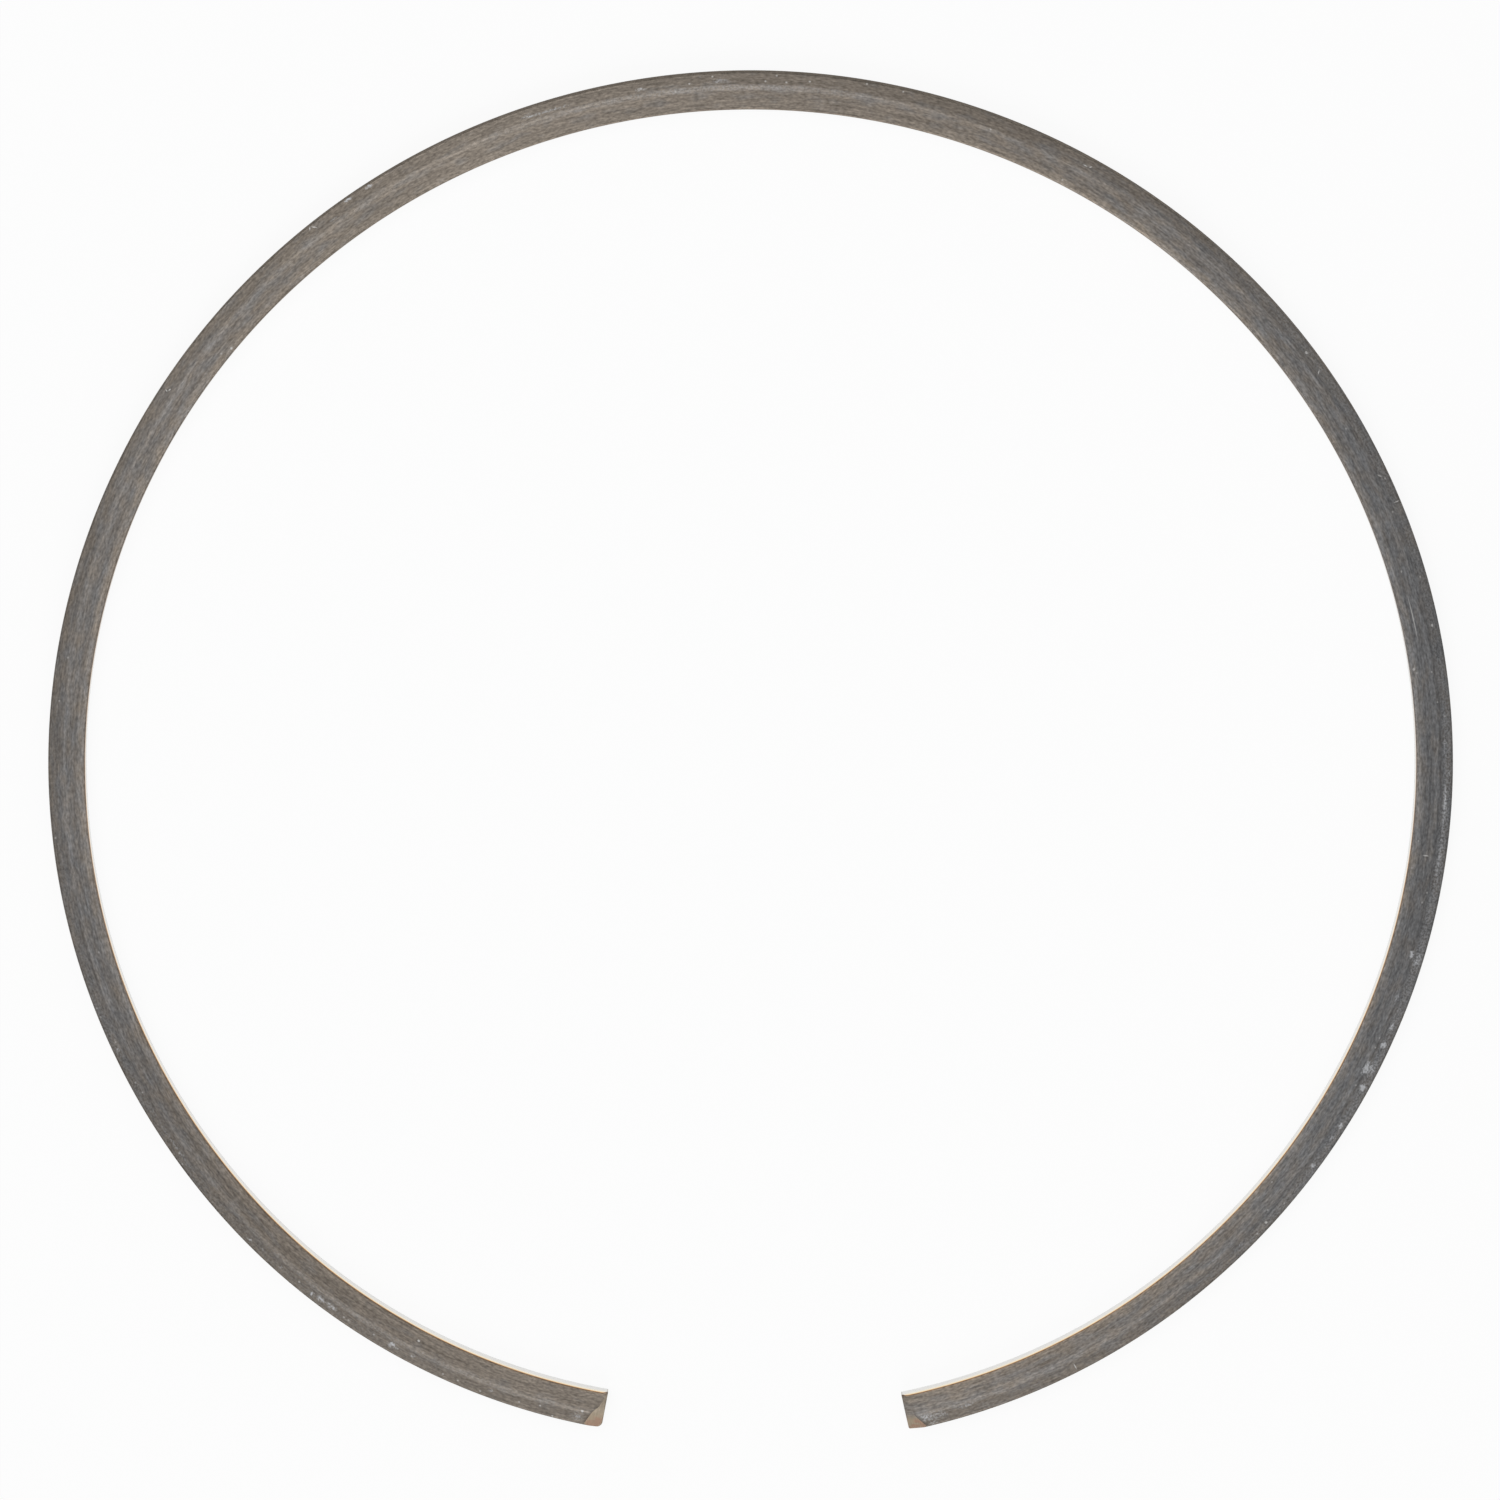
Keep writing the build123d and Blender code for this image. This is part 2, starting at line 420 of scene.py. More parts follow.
class Finish:
    """One material's nodes. Each step gives the output that a later step takes."""

    def __init__(self, name):
        self.material = bpy.data.materials.new(name)
        self.material.use_nodes = True
        self.tree = self.material.node_tree
        self.tree.nodes.clear()

    def step(self, kind, inputs=(), **settings):
        """A node of this kind with these settings, and inputs that are values or earlier outputs."""
        node = self.tree.nodes.new("ShaderNode" + kind)
        for name, value in settings.items():
            setattr(node, name, value)
        for name, value in dict(inputs).items():
            if isinstance(value, bpy.types.NodeSocket):
                self.tree.links.new(value, node.inputs[name])
            else:
                node.inputs[name].default_value = value
        return node

    def maths(self, operation, *values):
        """One sum on numbers."""
        return self.step("Math", enumerate(values), operation=operation).outputs[0]

    def rise(self, value, low, high):
        """A smooth rise from 0 to 1 between two values, or a fall where low is the greater."""
        limits = {"Value": value, "From Min": low, "From Max": high}
        return self.step("MapRange", limits, interpolation_type="SMOOTHSTEP").outputs[0]

    def between(self, value, low, high):
        """A value from 0 to 1 made one from low to high."""
        return self.maths("MULTIPLY_ADD", value, high - low, low)

    def grain(self, place, length, width, detail=2.0):
        """Noise from 0 to 1 with grains this long and this wide, in millimetres."""
        size = {"Vector": place, "Scale": (1 / length, 1 / width, 1)}
        place = self.step("Mapping", size).outputs[0]
        noise = {"Vector": place, "Scale": 1.0, "Detail": detail}
        return self.step("TexNoise", noise, noise_dimensions="2D").outputs[0]

    def ramp(self, value, stops):
        """A colour read off given stops from 0 to 1."""
        ramp = self.step("ValToRGB", {0: value})
        elements = ramp.color_ramp.elements
        elements[0].position = stops[0][0]
        elements[1].position = stops[-1][0]
        for position, colour in stops[1:-1]:
            elements.new(position)
        for element, (position, colour) in zip(elements, stops):
            element.color = (*colour, 1)
        return ramp.outputs[0]

    def blend(self, share, first, second, how="MIX"):
        """Two colours mixed by a share."""
        colours = {0: share, 6: first, 7: second}
        return self.step("Mix", colours, data_type="RGBA", blend_type=how).outputs[2]

    def wire_place(self):
        """Place on the wire in millimetres, along it and round it."""
        return self.step("UVMap", uv_map="wire").outputs[0]

    def inset(self, place):
        """Distance in from the outer edge, for a place on the upper surface."""
        round_place = self.step("SeparateXYZ", {0: place}).outputs[1]
        return self.maths("SUBTRACT", round_place, across(0.0))

    def by_direction(self, place, levels):
        """A level read off given ones from 0 to 1, each for a direction of the ring."""
        length = float(path_distance(LEFT_END))
        distance = self.step("SeparateXYZ", {0: place}).outputs[0]
        stops = [(path_distance(turn) / length, (level,) * 3) for turn, level in levels]
        return self.ramp(self.maths("DIVIDE", distance, length), stops)

    def patches(self, place, marks):
        """Soft round or long patches at given spots, added up.

        A patch falls evenly from its strength in the middle to 0 at its rim. A mark is its
        direction, its inset, how far it reaches along and across its own line from the middle,
        its strength, and the turn of that line from the wire's.
        """
        total = 0.0
        for direction, inset, reach_along, reach_across, strength, turn in marks:
            spot = {
                "Vector": place,
                "Location": (float(path_distance(direction)), across(inset), 0),
                "Rotation": (0, 0, np.radians(turn)),
                "Scale": (reach_along, reach_across, 1),
            }
            here = self.step("Mapping", spot, vector_type="TEXTURE").outputs[0]
            patch = self.step("TexGradient", {0: here}, gradient_type="SPHERICAL").outputs[1]
            total = self.maths("MULTIPLY_ADD", patch, strength, total)
        return total

    def metal(self, colour, roughness, normal, streaking, edge_tint):
        """The metal itself. Its highlight is drawn out across the grooves of the wire."""
        along = self.step("Tangent", direction_type="UV_MAP", uv_map="wire").outputs[0]
        metal = self.step("BsdfPrincipled", {
            "Base Color": colour,
            "Metallic": 1.0,
            "Roughness": roughness,
            "Specular Tint": (*edge_tint, 1),
            "Anisotropic": streaking,
            "Anisotropic Rotation": QUARTER_TURN,
            "Tangent": along,
            "Normal": normal,
        })
        self.step("OutputMaterial", {"Surface": metal.outputs[0]})
        return self.material

    def relief(self, height, depth):
        """Surface relief this deep, in millimetres, where the height goes from 0 to 1."""
        return self.step("Bump", {"Height": height, "Distance": depth * MM}).outputs[0]


# Oxide of the drawn wire: a neutral grey one and a bronze one, and how much of the second there
# is in each direction of the ring. The bronze is partly real tint and partly a painted warm
# highlight where the light falls.
GREY_OXIDE = (0.222, 0.222, 0.224)
BRONZE_OXIDE = (0.245, 0.212, 0.178)
BRONZE_AND_HIGHLIGHT_SHARES = (
    (-78, 0.75), (-52, 0.6), (-33, 0.15), (15, 0.05), (48, 0.5),
    (75, 0.9), (112, 1.0), (145, 0.6), (200, 0.35), (228, 0.95), (258, 1.0),
)
# More bronze than that near each edge: reach of the zone, and how much
OUTER_BRONZE = (1.6, 0.6, 0.25)
INNER_BRONZE = (3.2, 4.3, 0.22)
# Painted warm glint along the inner edge: colour, where it begins and ends, and cover. The painted
# glint is strong on the side of the gap and weak on the far side.
EDGE_GLINT = (0.265, 0.185, 0.12)
EDGE_GLINT_SPAN = ((4.4, 4.8), (6.0, 5.0))
EDGE_GLINT_COVER = 0.65
EDGE_GLINT_ALONG = (
    (-78, 1.0), (-25, 1.0), (-10, 0.85), (0, 0.5), (8, 0.2), (150, 0.2), (160, 0.35),
    (175, 0.6), (190, 0.8), (205, 1.0), (258, 1.0),
)
# Tone of the oxide in each direction, partly real and partly painted highlight, and of the upper
# surface at each inset: painted shade on the sloped lip and a painted highlight along its ridge.
# Both are halved while they are read, so that they fit between 0 and 1.
TONE_AND_HIGHLIGHT_ALONG = (
    (-78, 1.06), (-37, 1.0), (-12, 0.85), (22, 0.98), (52, 1.07), (90, 0.97),
    (112, 1.05), (135, 0.97), (182, 1.11), (205, 0.98), (232, 0.94), (258, 1.02),
)
LIGHT_AND_SHADE_ACROSS = (
    (0.0, 0.85), (0.3, 0.74), (1.3, 0.74), (1.7, 0.86), (1.95, 1.08),
    (2.4, 1.0), (3.0, 0.93), (4.6, 0.93),
)
TONE_SPAN = 5.0
HALF_TONE = 0.5
# How much a painted highlight brightens the inner edge in each direction, and where that begins
INNER_EDGE_HIGHLIGHT_ALONG = (
    (-78, 0.05), (-55, 0.1), (-30, 0.2), (-8, 0.54), (12, 0.44), (28, 0.3), (55, 0.33), (78, 0.04),
    (108, 0.04), (128, 0.15), (145, 0.35), (200, 0.42), (218, 0.3), (240, 0.1),
)
INNER_EDGE_HIGHLIGHT_SPAN = (3.3, 4.3)
# Grain of the oxide: length and width of its mottling, clouds, streaks and fine streaks, with how
# finely some are broken up, and the least and most that each adds or multiplies by
MOTTLING = (3.0, 1.0, 3.0)
MOTTLING_SHARES = (-0.7, 0.7)
CLOUDS = (12.0, 0.5)
CLOUD_TONES = (0.8, 1.2)
STREAKS = (3.0, 0.27)
STREAK_TONES = (0.6, 1.4)
FINE_STREAKS = (0.6, 0.24, 1.0)
FINE_STREAK_TONES = (0.5, 1.5)
# Sheen: roughness from streak to streak, how much rougher a stain is, tint of the metal seen along
# its surface, and how far the grooves draw the highlight out
OXIDE_ROUGHNESS = (0.36, 0.52)
STAIN_ROUGHNESS = 0.12
OXIDE_EDGE_TINT = (0.32, 0.31, 0.3)
GROOVE_SHEEN = 0.5
# Relief in millimetres, and the shares of fine streaks and of bare spots in it
OXIDE_RELIEF = 0.008
FINE_RELIEF = 0.6
BARE_RELIEF = -1.5
# Pale haze of dried oil on the lip, and pale flecks along its ridge: how much in each direction,
# and over which insets each begins and ends
LIP_HAZE = (
    (-78, 0.1), (-60, 0.15), (-45, 0.45), (-30, 0.85), (-12, 1.0), (0, 0.85), (12, 0.5),
    (40, 0.45), (52, 0.15), (70, 0.0), (130, 0.0), (150, 0.1), (165, 0.05), (185, 0.3),
    (203, 0.5), (215, 0.35), (235, 0.3), (250, 0.05), (258, 0.1),
)
LIP_HAZE_SPAN = ((-0.1, 0.45), (1.75, 1.0))
RIDGE_FLECKS = (
    (-78, 0.3), (-66, 0.2), (-50, 0.0), (74, 0.0), (83, 0.45), (92, 0.6), (102, 0.4), (116, 0.1),
    (205, 0.0), (225, 0.35), (240, 0.45), (255, 0.3),
)
RIDGE_FLECKS_SPAN = ((1.45, 1.75), (2.5, 2.1))
HAZE_COVER = 0.39
# Flecks that haze, stains and scale are thicker in: their size, the noise where they rise, and the
# share that is left between them
FLECKS = (0.3, 0.25)
FLECK_RISE = (0.34, 0.7)
BETWEEN_FLECKS = 0.2
# Pale stains: colour, cover, size and reach of the tears in their rims, how much the flecks weigh,
# and the strengths where a stain begins and is full
PALE_STAIN = (0.595, 0.605, 0.62)
STAIN_COVER = 0.9
TEAR_SIZE = (0.5, 0.4)
TEAR_REACH = (0.6, 0.4)
STAIN_FLECKS = (0.3, 1.45)
STAIN_RIM = (0.08, 1.15)
# Bare chips and scratches: colour, cover, and the strengths where one begins and is full
BARE_STEEL = (0.6, 0.59, 0.57)
BARE_COVER = 0.85
BARE_RIM = (0.1, 0.9)
# Dark line of scale where the ground facets begin: colour, width, cover, the insets where it is
# gone and full, and how much the flecks weigh
SCALE_LINE = (0.06, 0.045, 0.03)
SCALE_WIDTH = 0.55
SCALE_COVER = 0.42
SCALE_FADE = (4.6, 1.6)
SCALE_FLECKS = (0.0, 2.0)
# Burnt inner corner of each end: colour, place (inset, reach along and across, strength), cover,
# and the strengths where it begins and is full
SCORCH = (0.14, 0.095, 0.07)
SCORCHED_CORNER = (4.9, 0.6, 0.7, 1.0)
SCORCH_COVER = 0.8
SCORCH_RIM = (0.1, 0.7)

# Stains on the upper surface: direction, inset, reach along the wire and across it,
# and strength
STAINS = (
    (-75.8, 1.3, 2.9, 1.2, 0.5), (-76.5, 1.4, 0.8, 0.6, 0.3), (-74.7, 1.2, 0.8, 0.5, 0.2),
    (-75.8, 0.3, 1.0, 0.4, 0.5), (-72.7, 1.5, 2.4, 0.5, 0.5), (-44.3, 1.2, 0.6, 0.4, 0.6),
    (-35.4, 0.85, 0.42, 0.42, 1.6), (-32.6, 0.9, 0.5, 0.4, 0.8), (-31.3, 0.85, 0.48, 0.36, 2.0),
    (-27.65, 0.9, 0.7, 0.48, 2.0), (-26.0, 1.7, 1.3, 0.48, 1.8), (-25.9, 0.95, 1.5, 0.6, 0.9),
    (-23.65, 0.95, 0.62, 0.5, 2.0), (-22.0, 0.95, 0.7, 0.4, 0.85), (-21.4, 0.9, 1.2, 0.2, 0.6),
    (-19.6, 1.75, 1.8, 0.3, 0.7), (-16.0, 0.75, 1.5, 0.7, 0.8), (-15.6, 1.75, 0.75, 0.36, 1.9),
    (-6.7, 0.9, 6.2, 0.45, 0.6), (-2.4, 0.9, 3.8, 0.45, 0.8), (-2.4, 0.9, 1.0, 0.4, 0.2),
    (0.0, 0.5, 1.5, 0.25, 0.5), (2.2, 1.0, 1.8, 0.35, 0.6), (85.9, 1.75, 1.6, 0.25, 0.2),
    (92.6, 1.0, 1.8, 0.6, 0.5), (94.1, 0.4, 0.6, 0.3, 0.4), (99.0, 1.1, 1.0, 0.35, 0.75),
    (106.6, 1.15, 5.5, 0.35, 0.5), (108.4, 1.0, 1.3, 0.45, 0.45), (122.6, 0.35, 0.9, 0.3, 1.0),
    (124.6, 0.3, 0.7, 0.3, 1.7), (126.5, 1.3, 0.8, 0.4, 0.45), (204.0, 0.7, 0.6, 0.4, 0.8),
    (207.5, 1.0, 1.4, 0.5, 0.3), (213.5, 1.0, 7.0, 0.3, 0.4), (223.6, 0.65, 0.5, 0.3, 1.0),
    (225.0, 0.8, 0.5, 0.5, 0.4), (227.3, 0.9, 0.5, 0.4, 0.5), (230.95, 0.8, 0.4, 0.4, 1.4),
    (231.8, 1.0, 0.9, 0.6, 0.95), (233.0, 1.0, 1.3, 0.5, 0.85), (235.3, 0.85, 1.4, 0.4, 0.15),
    (237.5, 1.8, 1.2, 0.25, 0.3), (239.5, 1.1, 0.9, 0.5, 1.2), (241.6, 1.1, 0.5, 0.4, 0.6),
    (249.3, 1.1, 0.6, 0.4, 0.7), (257.4, 1.0, 1.5, 1.2, 0.45),
)
# Small chips: direction and inset
CHIPS = (
    (-42.8, 0.65), (-40.7, 1.8), (-39.4, 0.7), (-38.6, 3.8), (-27.7, 1.85), (-24.1, 1.8),
    (-23.2, 1.85), (-11.1, 2.1), (-10.2, 1.75), (-8.3, 4.25), (-5.9, 3.9), (4.75, 0.9),
    (6.0, 1.7), (8.6, 2.0), (8.7, 3.9), (16.6, 0.9), (17.5, 3.0), (22.5, 1.5), (25.3, 0.7),
    (30.5, 2.2), (62.7, 4.1), (69.9, 1.9), (77.6, 0.4), (80.6, 0.3), (85.2, 0.9), (87.1, 1.2),
    (87.9, 0.4), (88.8, 1.15), (93.1, 0.45), (95.0, 1.15), (96.2, 2.0), (141.1, 3.7),
    (170.2, 1.5), (173.9, 1.1),
    (185.4, 0.4), (195.6, 3.0), (200.1, 0.35), (200.9, 0.4), (203.3, 0.9), (207.1, 0.85),
    (208.1, 1.05), (214.1, 0.85), (215.0, 0.35), (229.4, 0.95), (234.5, 0.8), (235.0, 0.8),
    (237.6, 1.05), (240.1, 1.0), (244.75, 0.7), (246.2, 0.7), (248.4, 0.5), (252.0, 0.85),
    (253.9, 1.2), (255.2, 0.25),
)
BRIGHT_CHIPS = (
    (-41.6, 0.83), (9.05, 4.2), (12.45, 0.9), (37.6, 1.0), (140.2, 4.25), (241.4, 3.3),
    (257.7, 1.85),
)
# Strength of the two kinds of chip, and their reach along and across the wire
DULL_CHIP = 0.7
BRIGHT_CHIP = 1.5
CHIP_REACH = (0.26, 0.22)
# Scratches: direction, inset, reach along their own line, and turn from the line of the wire
SCRATCHES = (
    (-62.4, 0.9, 0.7, 90), (-7.1, 2.7, 0.6, 90), (13.5, 3.1, 5.0, 0), (23.15, 0.5, 0.6, 90),
    (25.7, 1.2, 0.5, 40), (35.7, 1.2, 0.5, -50), (61.6, 1.15, 0.5, 0), (61.15, 1.0, 0.3, 50),
    (128.15, 0.55, 0.6, -49), (128.5, 0.35, 0.35, 51), (146.3, 0.8, 0.3, 70), (146.1, 1.1, 0.3, -20),
)
SCRATCH_REACH_ACROSS = 0.12
SCRATCH_STRENGTH = 1.0


def oxide(finish, place):
    """Colour of the oxide with painted highlight, shade and glint, and the drawing's two layers of
    streaks.
    """
    inset = finish.inset(place)

    # The two oxides by direction, warmer where a painted highlight falls, with soft mottling between
    # them
    share = finish.by_direction(place, BRONZE_AND_HIGHLIGHT_SHARES)
    for near, far, more in (OUTER_BRONZE, INNER_BRONZE):
        share = finish.maths("MULTIPLY_ADD", finish.rise(inset, near, far), more, share)
    mottling = finish.between(finish.grain(place, *MOTTLING), *MOTTLING_SHARES)
    share = finish.maths("ADD", share, mottling)
    share = finish.maths("MINIMUM", finish.maths("MAXIMUM", share, 0.0), 1.0)
    colour = finish.blend(share, (*GREY_OXIDE, 1), (*BRONZE_OXIDE, 1))

    # A painted warm glint along the inner edge, strong on the side of the gap
    edge_glint = finish.maths("MULTIPLY", *[finish.rise(inset, *span) for span in EDGE_GLINT_SPAN])
    edge_glint = finish.maths("MULTIPLY", edge_glint, EDGE_GLINT_COVER)
    edge_glint = finish.maths("MULTIPLY", edge_glint, finish.by_direction(place, EDGE_GLINT_ALONG))
    colour = finish.blend(edge_glint, colour, (*EDGE_GLINT, 1))

    # Tone: painted highlight and shade by direction and inset, a painted highlight on the inner
    # edge, and real tone in long clouds and in the fine streaks of drawing
    tone = finish.by_direction(place, [(turn, level * HALF_TONE) for turn, level in TONE_AND_HIGHLIGHT_ALONG])
    stops = [(reach / TONE_SPAN, (level * HALF_TONE,) * 3) for reach, level in LIGHT_AND_SHADE_ACROSS]
    painted_light_across = finish.ramp(finish.maths("DIVIDE", inset, TONE_SPAN), stops)
    tone = finish.maths("MULTIPLY", tone, painted_light_across)
    # Painted highlight along the inner edge, stronger in some directions
    edge_highlight = finish.maths(
        "MULTIPLY", finish.by_direction(place, INNER_EDGE_HIGHLIGHT_ALONG), finish.rise(inset, *INNER_EDGE_HIGHLIGHT_SPAN)
    )
    tone = finish.maths("MULTIPLY_ADD", tone, edge_highlight, tone)
    clouds = finish.grain(place, *CLOUDS)
    streaks = finish.grain(place, *STREAKS)
    fine = finish.grain(place, *FINE_STREAKS)
    layers = ((clouds, CLOUD_TONES), (streaks, STREAK_TONES), (fine, FINE_STREAK_TONES))
    for layer, tones in layers:
        tone = finish.maths("MULTIPLY", tone, finish.between(layer, *tones))
    tone = finish.maths("DIVIDE", tone, HALF_TONE**2)
    return finish.blend(1.0, colour, tone, how="MULTIPLY"), streaks, fine


def scorched(finish, place, colour):
    """The same colour, burnt dark at the inner corner of each end."""
    tips = [(end, *SCORCHED_CORNER, 0) for end in (RIGHT_END, LEFT_END)]
    burnt = finish.rise(finish.patches(place, tips), *SCORCH_RIM)
    return finish.blend(finish.maths("MULTIPLY", burnt, SCORCH_COVER), colour, (*SCORCH, 1))


def hazed(finish, place, colour, thick):
    """The same colour, under the pale haze on the lip and the flecks on its ridge."""
    inset = finish.inset(place)
    for shares, (begins, ends) in ((LIP_HAZE, LIP_HAZE_SPAN), (RIDGE_FLECKS, RIDGE_FLECKS_SPAN)):
        haze = finish.maths("MULTIPLY", finish.rise(inset, *begins), finish.rise(inset, *ends))
        haze = finish.maths("MULTIPLY", haze, finish.by_direction(place, shares))
        haze = finish.maths("MULTIPLY", haze, finish.maths("MULTIPLY", thick, HAZE_COVER))
        colour = finish.blend(haze, colour, (*PALE_STAIN, 1))
    return colour


def stain_share(finish, place, thick):
    """Where the pale stains are.

    Noise moves each place by up to half of TEAR_REACH, which makes their rims ragged.
    """
    size = (1 / TEAR_SIZE[0], 1 / TEAR_SIZE[1], 1)
    torn = finish.step("Mapping", {"Vector": place, "Scale": size}).outputs[0]
    torn = finish.step("TexNoise", {"Vector": torn, "Scale": 1.0}, noise_dimensions="2D").outputs[1]
    moved = {0: torn, 1: (*TEAR_REACH, 0), 2: place}
    moved = finish.step("VectorMath", moved, operation="MULTIPLY_ADD").outputs[0]
    centred = {0: moved, 1: (TEAR_REACH[0] / 2, TEAR_REACH[1] / 2, 0)}
    centred = finish.step("VectorMath", centred, operation="SUBTRACT").outputs[0]
    stains = finish.patches(centred, [(*mark, 0) for mark in STAINS])
    stains = finish.maths("MULTIPLY", stains, finish.between(thick, *STAIN_FLECKS))
    return finish.rise(stains, *STAIN_RIM)


def bare_share(finish, place):
    """Where chips and scratches have taken the oxide off."""
    chips = [(*mark, *CHIP_REACH, DULL_CHIP, 0) for mark in CHIPS]
    chips += [(*mark, *CHIP_REACH, BRIGHT_CHIP, 0) for mark in BRIGHT_CHIPS]
    scratches = [
        (direction, inset, reach, SCRATCH_REACH_ACROSS, SCRATCH_STRENGTH, turn)
        for direction, inset, reach, turn in SCRATCHES
    ]
    chips, scratches = finish.patches(place, chips), finish.patches(place, scratches)
    return finish.rise(finish.maths("MAXIMUM", chips, scratches), *BARE_RIM)


def scale_share(finish, place, flecks):
    """Where the dark line of scale is, behind the ground facets and fainter further in."""
    behind = finish.step("Attribute", attribute_name="behind_facets").outputs["Fac"]
    line = finish.rise(behind, SCALE_WIDTH, 0.0)
    line = finish.maths("MULTIPLY", line, finish.rise(finish.inset(place), *SCALE_FADE))
    return finish.maths("MULTIPLY", line, finish.between(flecks, *SCALE_FLECKS))


def drawn_steel():
    """Dark oxide over drawn wire, with painted highlight, shade and glint: streaks along it, haze,
    stains, bare spots, scale and scorch.
    """
    finish = Finish("drawn_steel")
    place = finish.wire_place()
    colour, streaks, fine = oxide(finish, place)
    flecks = finish.grain(place, *FLECKS)
    thick = finish.between(finish.rise(flecks, *FLECK_RISE), BETWEEN_FLECKS, 1.0)
    colour = hazed(finish, place, colour, thick)
    stains = stain_share(finish, place, thick)
    bare = bare_share(finish, place)
    scale = scale_share(finish, place, flecks)
    layers = (
        (stains, STAIN_COVER, PALE_STAIN),
        (bare, BARE_COVER, BARE_STEEL),
        (scale, SCALE_COVER, SCALE_LINE),
    )
    for share, cover, layer in layers:
        colour = finish.blend(finish.maths("MULTIPLY", share, cover), colour, (*layer, 1))
    colour = scorched(finish, place, colour)

    roughness = finish.between(streaks, *OXIDE_ROUGHNESS)
    roughness = finish.maths("MULTIPLY_ADD", stains, STAIN_ROUGHNESS, roughness)
    relief = finish.maths("MULTIPLY_ADD", fine, FINE_RELIEF, streaks)
    relief = finish.maths("MULTIPLY_ADD", bare, BARE_RELIEF, relief)
    normal = finish.relief(relief, OXIDE_RELIEF)
    return finish.metal(colour, roughness, normal, GROOVE_SHEEN, OXIDE_EDGE_TINT)


# Inside of the ring: how far round the wire each colour lies from the end of the flat, from the
# oxide over a painted orange and cream glint to the wall, painted pale as a reflection of the floor
WALL_AND_GLINT_COLOURS = (
    (0.06, (0.25, 0.18, 0.12)), (0.18, (0.29, 0.165, 0.085)), (0.29, (0.37, 0.155, 0.05)),
    (0.37, (0.85, 0.46, 0.16)), (0.46, (0.98, 0.79, 0.48)), (0.75, (0.98, 0.88, 0.66)),
    (1.15, (0.86, 0.83, 0.76)), (1.70, (0.80, 0.795, 0.78)),
)
WALL_SPAN = 1.8
# Its draw lines: length, width, how finely they are broken up, their tones, roughness and relief
WALL_LINES = (6.0, 0.12, 3.0)
WALL_TONE = (0.82, 1.14)
WALL_ROUGHNESS = (0.26, 0.42)
WALL_RELIEF = 0.004
# Tone of the wall where the painted glint is gone, and its tint seen along the surface
FAR_WALL_TONE = 0.82
WALL_EDGE_TINT = (0.95, 0.94, 0.92)
# Film of oil on the wall: how much of it, how strongly it bends light, and its roughness
OIL_FILM = 0.6
OIL_BEND = 1.8
OIL_ROUGHNESS = 0.15


def inner_wall_painted_glint():
    """Smooth wall of the inside of the ring, painted pale as a reflection, with fine draw lines and
    a painted glint along its upper edge.
    """
    finish = Finish("inner_wall_painted_glint")
    place = finish.wire_place()
    round_place = finish.step("SeparateXYZ", {0: place}).outputs[1]
    lines = finish.grain(place, *WALL_LINES)
    down = finish.maths("SUBTRACT", round_place, across(WIDTH - EDGE_RADIUS))
    stops = [(reach / WALL_SPAN, colour) for reach, colour in WALL_AND_GLINT_COLOURS]
    colour = finish.ramp(finish.maths("DIVIDE", down, WALL_SPAN), stops)

    # Greyer and a little darker where the painted glint is weak
    glint_share = finish.by_direction(place, EDGE_GLINT_ALONG)
    tone = finish.between(glint_share, FAR_WALL_TONE, 1.0)
    greyed = {"Saturation": glint_share, "Value": tone, "Color": colour}
    colour = finish.step("HueSaturation", greyed).outputs[0]
    colour = finish.blend(1.0, colour, finish.between(lines, *WALL_TONE), how="MULTIPLY")
    colour = scorched(finish, place, colour)
    roughness = finish.between(lines, *WALL_ROUGHNESS)
    normal = finish.relief(lines, WALL_RELIEF)
    material = finish.metal(colour, roughness, normal, GROOVE_SHEEN, WALL_EDGE_TINT)
    wet = material.node_tree.nodes["Principled BSDF"].inputs
    wet["Coat Weight"].default_value = OIL_FILM
    wet["Coat IOR"].default_value = OIL_BEND
    wet["Coat Roughness"].default_value = OIL_ROUGHNESS
    return material


# Ground steel of the facets and end faces: pale where the bevel runs along the end, tan and brown
# at the outer corner. The inner part of the right end has kept its oxide.
GROUND_PALE = (0.42, 0.355, 0.275)
GROUND_TAN = (0.43, 0.36, 0.265)
GROUND_BROWN = (0.37, 0.25, 0.185)
# Insets between which it turns from tan to pale, and from plain to brown, and how blotchy the
# brown is
PALE_SPAN = (1.1, 2.5)
BROWN_SPAN = (2.2, 0.3)
BROWN_BLOTCHES = (-1.6, 3.4)
# Grinding lines and blotches: length, width, how finely they are broken up, and their tones
GRINDING_LINES = (0.12, 1.5)
GRINDING_TONES = (0.75, 1.25)
BLOTCHES = (0.9, 0.7, 3.0)
BLOTCH_TONES = (0.8, 1.2)
GROUND_ROUGHNESS = (0.38, 0.52)
GROUND_RELIEF = 0.006
GROUND_EDGE_TINT = (0.5, 0.48, 0.45)
GROUND_SHEEN = 0.3


